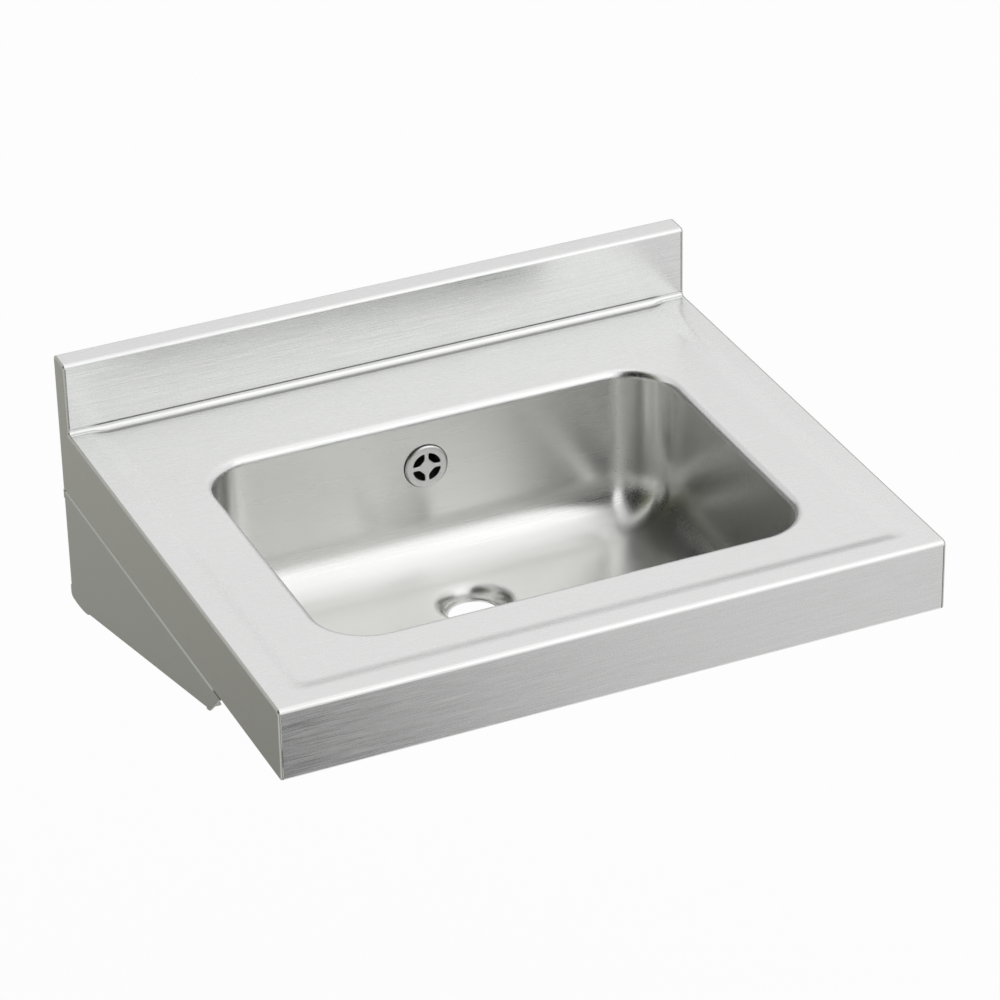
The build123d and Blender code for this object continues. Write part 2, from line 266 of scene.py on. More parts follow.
# %% Section of the sheet
def deck_section(level, cove):
    """The sheet's side view as (y, z), from the return to the rear flange, with the deck at a level.

    It is a path of lines and quarter circles, with the same count of points at every level.
    """
    foot_front = (front + apron_bottom_radius, foot + apron_bottom_radius)
    top_front = (front + apron_top_radius, -apron_top_radius)
    top_face = (backsplash_face + backsplash_top_radius, crest - backsplash_top_radius)
    top_rear = (-backsplash_rear_radius, crest - backsplash_rear_radius)
    cove_start, cove_end = backsplash_face - cove, level + cove
    stops = [top_front[0], front + raised_edge, recess_front, block_front]
    stops += [bowl_middle - skeleton_y, bowl_middle + skeleton_y, block_back, cove_start - mark_width]
    deck_y = spaced(stops, deck_steps)
    return joined(
        line((front + return_width, foot), (foot_front[0], foot), 3),
        arc(foot_front, apron_bottom_radius, -90, -180, 6),
        line((front, foot_front[1]), (front, top_front[1]), 5),
        arc(top_front, apron_top_radius, 180, 90, 8),
        np.stack([deck_y, np.where(deck_y > front + raised_edge, level, 0)], 1),
        np.stack([cove_start - mark_width + mark_along, level - mark_into], 1),
        arc((cove_start, cove_end), cove, -90, 0, 12),
        np.stack([backsplash_face + mark_into, cove_end + mark_along], 1),
        line((backsplash_face, cove_end + mark_width), (backsplash_face, face_foot), 1),
        line((backsplash_face, face_foot), (backsplash_face, top_face[1]), 5),
        arc(top_face, backsplash_top_radius, 180, 90, 8),
        line((top_face[0], crest), (top_rear[0], crest), 3),
        arc(top_rear, backsplash_rear_radius, 90, 0, 6),
        line((0, top_rear[1]), (0, rear_flange_bottom), 3),
    )


raised_section = deck_section(0, cove_radius)
sunk_section = deck_section(-deck_recess, cove_radius + deck_recess)
print("Both sections have", len(raised_section), "points:", len(raised_section) == len(sunk_section))

# %% [markdown]
# ### The ramp
# The recess's sloping sides meet in mitred corners whose radius grows as they rise, because the
# press tool's corner is rounded. Four sloping planes would leave sharp corners. A formula for how
# far up the ramp each point lies gives sides and corners at once, and the cove follows by itself.

# %% Ramp of the recess
def gentle(share):
    """A smooth step: 3 t squared minus 2 t cubed, level at both ends."""
    t = np.clip(share, 0, 1)
    return t * t * (3 - 2 * t)


def ramp(x, y):
    """How far up the ramp a point is, 0 in the recess and 1 on the raised edge.

    Beside the recess it is the distance outwards over the ramp's width. In a corner the recess is
    an arc that moves outwards as it rises and grows by the rise, so the share t solves the
    quadratic |(dx, dy) - t (w - r)| = corner + t r, with w the ramp's width and r its rise.
    """
    dx = np.abs(x) - (recess_half - recess_corner)
    dy = (recess_front + recess_corner) - y
    beside = (np.maximum(dx, dy) - recess_corner) / ramp_width
    rise = deck_recess
    lead = ramp_width - rise
    a = 2 * lead**2 - rise**2
    b = 2 * lead * (dx + dy) + 2 * recess_corner * rise
    c = dx**2 + dy**2 - recess_corner**2
    corner = (b - np.sqrt(np.maximum(b**2 - 4 * a * c, 0))) / (2 * a)
    at_corner = (np.minimum(dx, dy) > lead * np.maximum(beside, 0)) & (c > 0)
    return gentle(np.where(at_corner, corner, beside))


up_the_side = recess_half + ramp_width * np.array([0, 0.25, 0.5, 1])
print("Shares up the side ramp:", ramp(up_the_side, bowl_middle).round(2).tolist())

# %% Grid of the sheet
right_stops = [0, skeleton_x, block_x, recess_half, recess_half + ramp_width]
right_stops += [return_edge - notch_gap, panel_plane - seam_gap, panel_plane]
right_x = spaced(right_stops, [8, 14, 3, 14, 1, 3, 1])
deck_x = np.concatenate([-right_x[:0:-1], right_x])
ramp_share = ramp(deck_x[None, :], raised_section[:, :1])[..., None]
side_view = ramp_share * raised_section[:, None] + (1 - ramp_share) * sunk_section[:, None]
columns = np.broadcast_to(deck_x[None, :, None], ramp_share.shape)
deck_points = np.concatenate([columns, side_view], -1)
print("The sheet's grid has", deck_points.shape[0], "rows and", deck_points.shape[1], "columns")

# %% [markdown]
# ### Seams and rim
# The end panels are welded to the folded sheet along a seam, and the return is notched beside them.
# These are the grid's outer cells, which are left out. The bowl's opening is pressed down into a
# rolled rim: its rings shrink from the block to the rim and then follow a quarter circle down.

# %% Seams and notches
cell_x = np.abs(deck_x[1:] + deck_x[:-1])[None, :] / 2
cell_y, cell_z = np.hsplit((raised_section[1:] + raised_section[:-1]) / 2, 2)
on_return = (cell_y > front + apron_bottom_radius) & (cell_z < foot + sheet)
on_apron = (cell_y < front + apron_top_radius) & (cell_z < -apron_top_radius)
on_face = (cell_z > face_foot) & (cell_z < crest - backsplash_top_radius)
on_face &= cell_y < backsplash_face / 2
notched = on_return & (cell_x > return_edge - notch_gap)
seamed = (on_apron | on_face) & (cell_x > panel_plane - seam_gap)
deck_cells = ~(notched | seamed)
print("Cells left out for seams and notches:", np.count_nonzero(~deck_cells))


# %% Rolled rim
def rim_point(border, radius, level):
    """Offset curve of the bowl's plan: the nearest point of its inner rectangle plus radius."""
    offset = border[:, :2] - [0, bowl_middle]
    core = np.clip(offset, [-skeleton_x, -skeleton_y], [skeleton_x, skeleton_y])
    outwards = offset - core
    outwards /= np.linalg.norm(outwards, axis=1)[:, None]
    return at_level(core + radius * outwards + [0, bowl_middle], level)


def rim_rings(border):
    """Rings from the block over the deck to the rim, then round a quarter circle downwards."""
    rim = rim_point(border, bowl_corner + rim_radius, -deck_recess)
    deck_rings = [border + share * (rim - border) for share in (0.35, 0.65, 0.9, 0.98, 1)]
    turn = np.radians(np.linspace(0, 90, 11))[1:]
    radii = bowl_corner + rim_radius * (1 - np.sin(turn))
    levels = -deck_recess - rim_radius * (1 - np.cos(turn))
    return deck_rings + [rim_point(border, r, z) for r, z in zip(radii, levels)]


# %% The folded sheet
def make_deck_sheet():
    """The grid with its seams and the bowl's block left out, and the rim's rings in the block."""
    deck_start = int(np.argmax(raised_section[:, 0] > front + raised_edge))
    deck_y = raised_section[deck_start:, 0]
    rows = [deck_start + nearest(deck_y, y) for y in (block_front, block_back)]
    sides = [nearest(deck_x, x) for x in (-block_x, block_x)]
    deck_cells[rows[0] : rows[1], sides[0] : sides[1]] = False
    index, flat = numbered(deck_points), deck_points.reshape(-1, 3)
    border = block_border(index, rows, sides)
    rings = rim_rings(flat[border])
    faces = [grid_faces(index, deck_cells), ring_faces(border, rings, len(flat))]
    piece = new_piece("folded_deck_sheet", np.concatenate([flat] + rings), np.concatenate(faces))
    give_gauge(piece, sheet)
    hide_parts("deck_sheet")
    return piece


deck = make_deck_sheet()

# %% [markdown]
# ## The drawn bowl
# A press draws the bowl from one blank: straight walls with a little draft, a large cove and a
# floor that leads to the drain near the rear wall. A rounded box would do for the walls, but the
# floor lies higher at the front, and the drain is a circle in a rectangle. So every level of the
# wall and the cove is an offset of one inner rectangle, the cove's foot is lifted to where the
# floor is, and the floor's rings turn from the rectangle into circles and roll over to the seat.

# %% Depth, draft and drain
weld_level = bowl_high.z
wall_draft = math.radians(1)
floor_radius = 42 * mm
fall_at_back = 5 * mm
fall_at_front = 18 * mm
drain_radius = 22.225 * mm
drain_middle = -203.2 * mm
drain_seat_depth = 4.8 * mm
drain_dish_edge = 37 * mm
drain_seat_flat = 24.5 * mm
seat_level = bowl_low.z + sheet
floor_level = seat_level + drain_seat_depth
cove_level = floor_level + floor_radius
print("The drain's seat is", round((weld_level - seat_level) / mm, 1), "mm below the weld")

# %% Overflow's place on the rear wall
overflow_x = -4.4 * mm
overflow_level = -48.6 * mm
overflow_hole_radius = 15.5 * mm
overflow_block = 22.0 * mm
overflow_y = bowl_back - (weld_level - overflow_level) * math.tan(wall_draft)
overflow_middle = np.array([overflow_x, overflow_y, overflow_level])
overflow_normal = np.array([0, -math.cos(wall_draft), math.sin(wall_draft)])
overflow_up = np.array([0, math.sin(wall_draft), math.cos(wall_draft)])
hole_levels = [overflow_level + overflow_block, overflow_level - overflow_block]
hole_sides = [overflow_x + overflow_block, overflow_x - overflow_block]


def on_wall(across, up, out):
    """Points from the overflow's own axes: across the wall, up the wall and out of the wall."""
    places = overflow_middle + up[:, None] * overflow_up + out[:, None] * overflow_normal
    return places + across[:, None] * np.array([1.0, 0, 0])


# %% Plan of the bowl's columns
def bowl_plan():
    """Core points and outward directions round the bowl, anticlockwise from the front left.

    Along a straight wall the core point moves and the direction stays. In a corner the core point
    stays and the direction turns by a quarter.
    """
    front_x = np.linspace(-skeleton_x, skeleton_x, 65)
    back_x = spaced([skeleton_x, *hole_sides, -skeleton_x], [28, 10, 26])
    side_y = np.linspace(-skeleton_y, skeleton_y, 41)
    walls = [
        np.column_stack([front_x, np.full_like(front_x, -skeleton_y)]),
        np.column_stack([np.full_like(side_y, skeleton_x), side_y]),
        np.column_stack([back_x, np.full_like(back_x, skeleton_y)]),
        np.column_stack([np.full_like(side_y, -skeleton_x), side_y[::-1]]),
    ]
    turn = np.radians(np.linspace(0, 90, 25))[1:-1]
    core, outwards = [], []
    for number, wall in enumerate(walls):
        heading = (number - 1) * math.pi / 2
        core += [wall, np.tile(wall[-1], (len(turn), 1))]
        angle = np.concatenate([np.full(len(wall), heading), heading + turn])
        outwards.append(np.column_stack([np.cos(angle), np.sin(angle)]))
    return np.concatenate(core), np.concatenate(outwards)


bowl_core, bowl_outwards = bowl_plan()
print("The bowl has", len(bowl_core), "columns of points")


# %% Section of the wall and the cove
def wall_radius(level):
    """How far the wall stands off the core at a level: the corner radius less the draft's share."""
    return bowl_corner - (weld_level - level) * math.tan(wall_draft)


wall_foot = cove_level - floor_radius * math.sin(wall_draft)
wall_levels = spaced([weld_level, *hole_levels, wall_foot], [4, 10, 5])
cove_centre = (wall_radius(cove_level) - floor_radius / math.cos(wall_draft), cove_level)
bowl_section = joined(
    np.column_stack([wall_radius(wall_levels), wall_levels]),
    arc(cove_centre, floor_radius, -math.degrees(wall_draft), -90, 20),
)
print("The wall draws in by", round((bowl_corner - wall_radius(wall_foot)) / mm, 2), "mm")


# %% Floor
def fall(y):
    """How far the floor lies above the level of a flat one: a smooth step from back to front."""
    share = (bowl_back - y) / (bowl_back - bowl_front)
    return fall_at_back + (fall_at_front - fall_at_back) * gentle(share)


def floor_height(plan):
    """Level of the floor, which rolls over to the seat as a quarter of an ellipse.

    It is the seat plus the floor's height there times the root of (1 - share squared), where the
    share grows from 0 at the dish's edge to 1 at the seat's flat.
    """
    reach = np.linalg.norm(plan - [0, drain_middle], axis=-1)
    share = np.clip((drain_dish_edge - reach) / (drain_dish_edge - drain_seat_flat), 0, 1)
    return seat_level + (drain_seat_depth + fall(plan[..., 1])) * np.sqrt(1 - share**2)


def floor_rings(edge):
    """Rings from the cove's foot to the drain: straight to the dish's edge, then circles.

    The circles' radii follow the sine of equal angles, so they lie close where the roll is steep.
    """
    drain = np.array([0, drain_middle])
    towards = edge - drain
    towards /= np.linalg.norm(towards, axis=1)[:, None]
    dish_edge = drain + drain_dish_edge * towards
    plans = [edge + share * (dish_edge - edge) for share in np.linspace(0, 1, 8)[1:]]
    roll = np.radians(np.linspace(0, 90, 17))[1:]
    radii = drain_dish_edge - (drain_dish_edge - drain_seat_flat) * np.sin(roll)
    plans += [drain + radius * towards for radius in np.append(radii, drain_radius)]
    return np.array([at_level(plan, floor_height(plan)) for plan in plans])


# %% The bowl's grid
def wall_rings():
    """Rings of the wall and the cove: core plus radius times direction, lifted towards the floor.

    The lift grows from nothing under the overflow to the floor's own height at the cove's start.
    """
    plan = bowl_core + bowl_section[:, None, :1] * bowl_outwards + [0, bowl_middle]
    levels = np.broadcast_to(bowl_section[:, None, 1], plan.shape[:2])
    lift = floor_height(plan[-1]) - floor_level
    share = np.clip((hole_levels[1] - levels) / (hole_levels[1] - cove_level), 0, 1)
    return np.concatenate([plan, (levels + lift * share)[..., None]], -1)


bowl_walls = wall_rings()
bowl_points = np.concatenate([bowl_walls, floor_rings(bowl_walls[-1, :, :2])])
floor_levels = bowl_walls[-1, :, 2]
print("The floor's edge lies", (floor_levels.min() / mm).round(1), "to", (floor_levels.max() / mm).round(1))


# %% The bowl with the overflow's hole
def make_bowl():
    """The grid with a block left out of the rear wall, and rings from the block to the hole."""
    index, flat = wrapped(numbered(bowl_points)), bowl_points.reshape(-1, 3)
    at_back = np.nonzero((bowl_outwards[:, 1] > 0.999) & (bowl_core[:, 1] > 0))[0]
    sides = [at_back[0] + nearest(bowl_core[at_back, 0], x) for x in hole_sides]
    rows = [nearest(wall_levels, z) for z in hole_levels]
    cells = np.ones((len(index) - 1, len(bowl_core)), bool)
    cells[rows[0] : rows[1], sides[0] : sides[1]] = False
    border = block_border(index, rows, sides)
    spoke = flat[border] - overflow_middle
    spoke /= np.linalg.norm(spoke, axis=1)[:, None]
    hole = overflow_middle + overflow_hole_radius * spoke
    rings = [flat[border] + share * (hole - flat[border]) for share in (0.3, 0.6, 0.85, 1)]
    faces = [grid_faces(index, cells), ring_faces(border, rings, len(flat))]
    piece = new_piece("drawn_bowl", np.concatenate([flat] + rings), np.concatenate(faces))
    give_gauge(piece, sheet)
    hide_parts("bowl")
    return piece


bowl = make_bowl()

# %% [markdown]
# ## The overflow grille
# The overflow's cover is a pressed plate with four petals cut out of it, which leave a star of
# four arms. A round plate with a Boolean would give hard edges and long thin triangles. Here one
# quarter is a grid between the petal's edge and the quarter's own edge, and it is turned four
# times. The petal's edge is a smooth minimum of three limits, so its corners come out round.

# %% Sizes of the grille
grille_radius = 19.0 * mm
grille_plateau = 16.6 * mm
grille_back = 0.8 * mm
grille_top = 2.6 * mm
grille_rim = 0.5 * mm
petal_reach = 12.6 * mm
petal_arm = 1.8 * mm
petal_hub = 8.6 * mm
petal_middle = 6.6 * mm
petal_lip = 0.45 * mm
petal_sharpness = 9
sleeve_radius = 14.0 * mm
sleeve_wall = 1.2 * mm
sleeve_reach = 8.0 * mm


# %% Rays from the petal's middle
def ray_to_arc(direction, radius):
    """Distance from the petal's middle to a circle round the grille's axis, along a direction."""
    along = petal_middle * direction.sum(axis=1)
    return -along + np.sqrt(along**2 + radius**2 - 2 * petal_middle**2)


def ray_to_lines(direction, gap):
    """Distance from the petal's middle to the two lines at a gap beside the arms' centre lines."""
    return (petal_middle - gap) / np.maximum(-direction, 1e-6)


def quarter_curves(steps):
    """The petal's edge, the quarter's edge and the directions of the rays that they lie on.

    With the sharpness n, the petal's edge is at the distance (sum of d to the power of -n) to the
    power of -1/n, over the distances d to the arms, to the hub's slanting limit and to the petal's
    own circle. Two more rays go to the quarter's own corners.
    """
    angle = np.radians(np.linspace(45, 405, steps + 1)[:-1])
    corner = math.atan2(-petal_middle, grille_plateau - petal_middle)
    angle = np.sort(np.append(angle, [corner + 2 * math.pi, math.pi / 2 - corner]))
    direction = np.column_stack([np.cos(angle), np.sin(angle)])
    slant = (2 * petal_middle - petal_hub) / np.maximum(-direction.sum(axis=1), 1e-6)
    limits = [ray_to_lines(direction, petal_arm), slant, ray_to_arc(direction, petal_reach)]
    petal = (np.column_stack(limits) ** -float(petal_sharpness)).sum(axis=1) ** (-1 / petal_sharpness)
    border = np.minimum(ray_to_lines(direction, 0).min(axis=1), ray_to_arc(direction, grille_plateau))
    return petal_middle + petal[:, None] * direction, petal_middle + border[:, None] * direction, direction


petal_edge, quarter_edge, ray_directions = quarter_curves(72)
print("A quarter has", len(petal_edge), "rays")


# %% Rows of the grille
def plate_rows():
    """A quarter's rows: the back, the petal's wall, the lip's quarter circle and the plateau."""
    outer_edge = quarter_edge * grille_radius / grille_plateau
    rows = [at_level(outer_edge, grille_back), at_level(petal_edge, grille_back)]
    for turn in np.radians([90, 60, 30, 0]):
        out, drop = petal_lip * (1 - math.sin(turn)), petal_lip * (1 - math.cos(turn))
        rows.append(at_level(petal_edge + out * ray_directions, grille_top - drop))
    start = petal_edge + petal_lip * ray_directions
    shares = np.linspace(0, 1, 6)[1:]
    return np.array(rows + [at_level(start + s * (quarter_edge - start), grille_top) for s in shares])


def shoulder_rows():
    """Rows down a quarter of the domed shoulder, a quarter ellipse, and then to the back."""
    on_circle = np.abs(np.linalg.norm(quarter_edge, axis=1) - grille_plateau) < 1e-6
    spokes = quarter_edge[on_circle] / grille_plateau
    spokes = spokes[np.argsort(np.arctan2(spokes[:, 1], spokes[:, 0]))]
    turn = np.radians(np.linspace(0, 90, 7))
    radii = grille_plateau + (grille_radius - grille_plateau) * np.sin(turn)
    levels = grille_top - (grille_top - grille_back - grille_rim) * (1 - np.cos(turn))
    rows = [at_level(radius * spokes, level) for radius, level in zip(radii, levels)]
    return np.array(rows + [at_level(grille_radius * spokes, grille_back)])


def sleeve_rows():
    """The sleeve that goes into the elbow, as circles: outside, its end, inside and the start."""
    end, inner = grille_back - sleeve_reach, sleeve_radius - sleeve_wall
    tube = [(sleeve_radius, grille_back), (sleeve_radius, end), (inner, end), (inner, grille_back)]
    return np.array([at_level(radius * circle(96), level) for radius, level in tube + tube[:1]])


# %% [markdown]
# The four quarters share their edges, and the sleeve's last circle lies on its first. So doubles
# are merged, which closes the seams, and then the normals are recalculated to point outwards. A
# closed solid has exactly two faces at every edge, and the count of other edges shows that it is.

# %% The grille
def make_grille():
    """One quarter of the plate turned about its axis four times, and the sleeve."""
    plate, shoulder, sleeve = plate_rows(), shoulder_rows(), sleeve_rows()
    plate_index = numbered(plate)
    shoulder_index = numbered(shoulder, plate_index.size)
    points = np.concatenate([plate.reshape(-1, 3), shoulder.reshape(-1, 3)])
    faces = np.concatenate([grid_faces(wrapped(plate_index)), grid_faces(shoulder_index)])
    quarter_turn = np.array([[0, 1, 0], [-1, 0, 0], [0, 0, 1]])
    all_points = [points @ np.linalg.matrix_power(quarter_turn, k) for k in range(4)]
    all_faces = [faces + k * len(points) for k in range(4)]
    all_points.append(sleeve.reshape(-1, 3))
    all_faces.append(grid_faces(wrapped(numbered(sleeve, 4 * len(points)))))
    places = on_wall(*np.concatenate(all_points).T)
    piece = new_piece("grille_cover", places, np.concatenate(all_faces))
    shape = bmesh.new()
    shape.from_mesh(piece.data)
    bmesh.ops.remove_doubles(shape, verts=shape.verts, dist=0.003 * mm)
    bmesh.ops.recalc_face_normals(shape, faces=shape.faces)
    print("Edges without two faces:", sum(len(edge.link_faces) != 2 for edge in shape.edges))
    shape.to_mesh(piece.data)
    shape.free()
    smooth(piece)
    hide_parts("overflow_grille")
    return piece


grille = make_grille()

# %% [markdown]
# ## The sound pads
# A rubber pad is stuck under each half of the floor to deaden the sound of the water. It is cut
# flat and bends to the floor that it sticks to. A flat plate would hang below the floor's front or
# stick through its back, so the pad is a grid that takes its level from the floor's formula, and
# Solidify gives it its thickness.

# %% Pads under the floor
pad_corner = 8 * mm
pad_centre_share = 0.04


def make_pad(side):
    """A rounded plate under the floor: its outline scaled from the middle outwards, ring by ring."""
    low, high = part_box(side + "_floor_pad")
    middle = np.array([low.x + high.x, low.y + high.y]) / 2
    half = np.array([high.x - low.x, high.y - low.y]) / 2
    spokes = circle(96)[::-1]
    outline = (half - pad_corner) * np.sign(np.round(spokes, 6)) + pad_corner * spokes
    plan = np.array([middle + share * outline for share in np.linspace(pad_centre_share, 1, 9)])
    level = high.z - floor_level + floor_height(plan)
    points = np.concatenate([plan, level[..., None]], -1)
    index = numbered(points)
    faces = grid_faces(wrapped(index)).tolist() + [index[0].tolist()]
    piece = new_piece(side + "_sound_pad", points.reshape(-1, 3), faces)
    give_gauge(piece, high.z - low.z)
    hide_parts(side + "_floor_pad")
    print("It lies from", (level.min() / mm).round(1), "to", (level.max() / mm).round(1), "mm")
    return piece


pads = [make_pad(side) for side in ("left", "right")]

# %% [markdown]
# ## The end panels
# Each end is closed by a panel with the outline of the folded sheet. It is pressed with a small
# rounded edge all round, and has a return under the deck and a flange at the wall. Extruding the
# outline and bevelling it would do, but the cove's bevel must grow where the outer bends' shrink.
# So the outline is a function of its inset, and the edge is a row of outlines round a quarter
# circle. The flat of the panel is one face.

# %% Outline of a panel
def panel_outline(inset):
    """The closed side view, moved inwards: outer bends lose the inset and the cove gains it."""
    low, face, high = foot + inset, backsplash_face + inset, crest - inset
    near, top, rear = front + inset, -inset, -inset
    return_stop = front + return_width + notch_gap
    flange_stop = rear_flange_bottom - notch_gap
    foot_r = apron_bottom_radius - inset
    apron_r = apron_top_radius - inset
    cove_r = cove_radius + inset
    face_r = backsplash_top_radius - inset
    rear_r = backsplash_rear_radius - inset
    return joined(
        line((rear - foot_r, low), (return_stop, low), 6),
        line((return_stop, low), (near + foot_r, low), 1),
        arc((near + foot_r, low + foot_r), foot_r, -90, -180, 6),
        line((near, low + foot_r), (near, top - apron_r), 2),
        arc((near + apron_r, top - apron_r), apron_r, 180, 90, 8),
        line((near + apron_r, top), (face - cove_r, top), 6),
        arc((face - cove_r, top + cove_r), cove_r, -90, 0, 12),
        line((face, top + cove_r), (face, high - face_r), 2),
        arc((face + face_r, high - face_r), face_r, 180, 90, 8),
        line((face + face_r, high), (rear - rear_r, high), 1),
        arc((rear - rear_r, high - rear_r), rear_r, 90, 0, 6),
        line((rear, high - rear_r), (rear, flange_stop), 1),
        line((rear, flange_stop), (rear, low + foot_r), 3),
        arc((rear - foot_r, low + foot_r), foot_r, 0, -90, 6),
    )[:-1]


print("A panel's outline has", len(panel_outline(0)), "points")

# %% Panels
end_edge_radius = half_width - panel_plane
box_slack = 0.1 * mm


def make_end_panel(node, side):
    """Rows of outlines: the return's edge, the panel's plane and a quarter circle outwards."""
    turn = np.radians(np.linspace(0, 90, 8))
    row_x = np.append(return_edge, panel_plane + end_edge_radius * np.sin(turn))
    insets = np.append(0, end_edge_radius * (1 - np.cos(turn)))
    outlines = np.array([panel_outline(inset) for inset in insets])
    row_x = np.broadcast_to(side * row_x[:, None, None], outlines.shape[:2] + (1,))
    points = np.concatenate([row_x, outlines], -1)[:, ::-side]
    index = numbered(points)
    loop = np.vstack([points[0, :, 1:], points[0, :1, 1:]])
    y, z = ((loop[1:] + loop[:-1]) / 2).T
    on_foot = (z < foot + box_slack) & (y > front + return_width)
    at_wall = (y > -box_slack) & (z < rear_flange_bottom - notch_gap) & (z > foot + apron_bottom_radius)
    cells = np.ones(index[:-1].shape, bool)
    cells[0] = on_foot | at_wall
    faces = grid_faces(wrapped(index), cells).tolist() + [index[-1].tolist()]
    piece = new_piece(node + "_skin", points.reshape(-1, 3), faces)
    give_gauge(piece, sheet)
    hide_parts(node)
    return piece


end_panels = [make_end_panel("left_end_panel", -1), make_end_panel("right_end_panel", 1)]

# %% [markdown]
# ## Nodes for the finishes
# Each finish is a small graph of shader nodes. They could be made by hand in the shader editor,
# but the steels differ only in a few numbers, so short functions build the graph, and a finish is
# then one line. All patterns read Object coordinates, so they keep their real scale in metres.

# %% Nodes
def fill(node, inputs):
    """Feeds a node's inputs, given by name or number, with a socket, a number or a colour."""
    for key, value in inputs.items():
        target = node.inputs[key]
        if isinstance(value, bpy.types.NodeSocket):
            target.id_data.links.new(value, target)
        else:
            target.default_value = value


def add(material, kind, inputs, **settings):
    """A new node of a kind, with its inputs fed and its settings made."""
    node = material.node_tree.nodes.new(kind)
    for key, value in settings.items():
        setattr(node, key, value)
    fill(node, inputs)
    return node


def new_material(name):
    """A node material and its Principled shader."""
    material = bpy.data.materials.new(name)
    material.use_nodes = True
    return material, material.node_tree.nodes["Principled BSDF"]


def dress(piece, material):
    """Gives a piece one material all over."""
    piece.data.materials.clear()
    piece.data.materials.append(material)


# %% Arithmetic between sockets
def calculate(material, operation, *values, kind="ShaderNodeMath"):
    """The result of one operation on sockets, numbers or vectors."""
    return add(material, kind, dict(enumerate(values)), operation=operation).outputs[0]


def place_of(material, axis=None):
    """The shaded point in Object coordinates, or its distance along one axis."""
    place = add(material, "ShaderNodeTexCoord", {}).outputs["Object"]
    return add(material, "ShaderNodeSeparateXYZ", {0: place}).outputs[axis] if axis else place


def map_range(material, value, before, after, **settings):
    """A value carried from one range to another, and held at the ends."""
    limits = dict(zip(("From Min", "From Max", "To Min", "To Max"), (*before, *after)))
    return add(material, "ShaderNodeMapRange", {"Value": value, **limits}, **settings).outputs["Result"]


def grain(material, scale, detail):
    """Noise with a scale for each axis, in blotches per metre."""
    stretch = add(material, "ShaderNodeMapping", {"Vector": place_of(material), "Scale": scale})
    inputs = {"Vector": stretch.outputs["Vector"], "Scale": 1, "Detail": detail}
    return add(material, "ShaderNodeTexNoise", inputs).outputs["Fac"]


def texture(material, shader, noise, limits, roughness, spread, strength, depth):
    """Noise between its limits varies the roughness by a spread, and raises a bump of a depth."""
    rough = map_range(material, noise, limits, (roughness - spread, roughness + spread))
    bump = add(material, "ShaderNodeBump", {"Strength": strength, "Distance": depth, "Height": noise})
    fill(shader, {"Roughness": rough, "Normal": bump.outputs["Normal"]})


# %% [markdown]
# ### Steel
# Brushed steel gets its look from fine scratches along one direction. A picture of scratches could
# be laid on it, but it would repeat and needs a UV map. Here a noise that is stretched along the
# grain varies the roughness and raises a faint bump. Scratches also spread a reflection across the
# grain: that is the shader's anisotropy, turned a quarter from the tangent, which runs along them.

# %% Steel with its grain along X
def steel(name, colour, roughness, spread, scratch, strength, anisotropy=0):
    """Steel with scratches of a length and a width along X, which bend reflections by a share."""
    material, shader = new_material(name)
    length, width = scratch
    noise = grain(material, (1 / length, 1 / width, 1 / width), 3)
    texture(material, shader, noise, (0.3, 0.7), roughness, spread, strength, 0.1 * mm)
    tangent = add(material, "ShaderNodeCombineXYZ", {"X": 1}).outputs[0]
    fill(shader, {"Base Color": (*colour, 1), "Metallic": 1, "Tangent": tangent})
    fill(shader, {"Anisotropic": anisotropy, "Anisotropic Rotation": 0.25})
    return material


# %% [markdown]
# ### Painted shade beside the cove, and the polishing
# A thin dark line of shade shows on each side of the cove. It is painted: the shell's colour is
# darker along two lines, inside two smooth limits, as a separate strip of darker metal would show
# an edge. The bowl is polished by a wheel that runs round it: its scratches turn about a vertical
# axis, and the wheel reaches the lower cove and the floor less well.

# %% Painted shade lines beside the cove
fade_length = 12 * mm


def near(material, axis, middle, inner, outer):
    """1 within an inner distance of a coordinate's middle, 0 past an outer one, smooth between."""
    offset = calculate(material, "SUBTRACT", place_of(material, axis), middle)
    distance = calculate(material, "ABSOLUTE", offset)
    return map_range(material, distance, (outer, inner), (0, 1), interpolation_type="SMOOTHSTEP")


def painted_shade_line(material, colour, axis, middle, half_line, half_length):
    """Paints a line of shade: a darker colour along X, where one coordinate is at its middle, with faded
    ends.

    A Mix node has four kinds of sockets under the same names, so the colour's are given by number.
    """
    across = near(material, axis, middle, 0.4 * half_line, half_line)
    along = near(material, "X", 0, half_length - fade_length, half_length)
    share = calculate(material, "MULTIPLY", across, along)
    shader = material.node_tree.nodes["Principled BSDF"]
    base = shader.inputs["Base Color"]
    under = base.links[0].from_socket if base.links else tuple(base.default_value)
    inputs = {0: share, 6: under, 7: (*colour, 1)}
    mixed = add(material, "ShaderNodeMix", inputs, data_type="RGBA").outputs[2]
    fill(shader, {"Base Color": mixed})


# %% Brushing round the bowl
def brush_round(material, centre, anisotropy):
    """Turns the scratches round a vertical axis: along the walls, and in circles on the floor.

    The direction is Z cross (place - centre), which the shader lays into the surface.
    """
    vector = "ShaderNodeVectorMath"
    offset = calculate(material, "SUBTRACT", place_of(material), centre, kind=vector)
    around_axis = calculate(material, "CROSS_PRODUCT", offset, (0, 0, -1), kind=vector)
    tangent = calculate(material, "NORMALIZE", around_axis, kind=vector)
    shader = material.node_tree.nodes["Principled BSDF"]
    fill(shader, {"Anisotropic": anisotropy, "Tangent": tangent})


def rougher_below(material, level, blend, more):
    """Adds roughness below a level of Z, growing over a blend."""
    limits = (level + blend / 2, level - blend / 2)
    extra = map_range(material, place_of(material, "Z"), limits, (0, more))
    shader = material.node_tree.nodes["Principled BSDF"]
    before = shader.inputs["Roughness"].links[0].from_socket
    fill(shader, {"Roughness": calculate(material, "ADD", before, extra)})


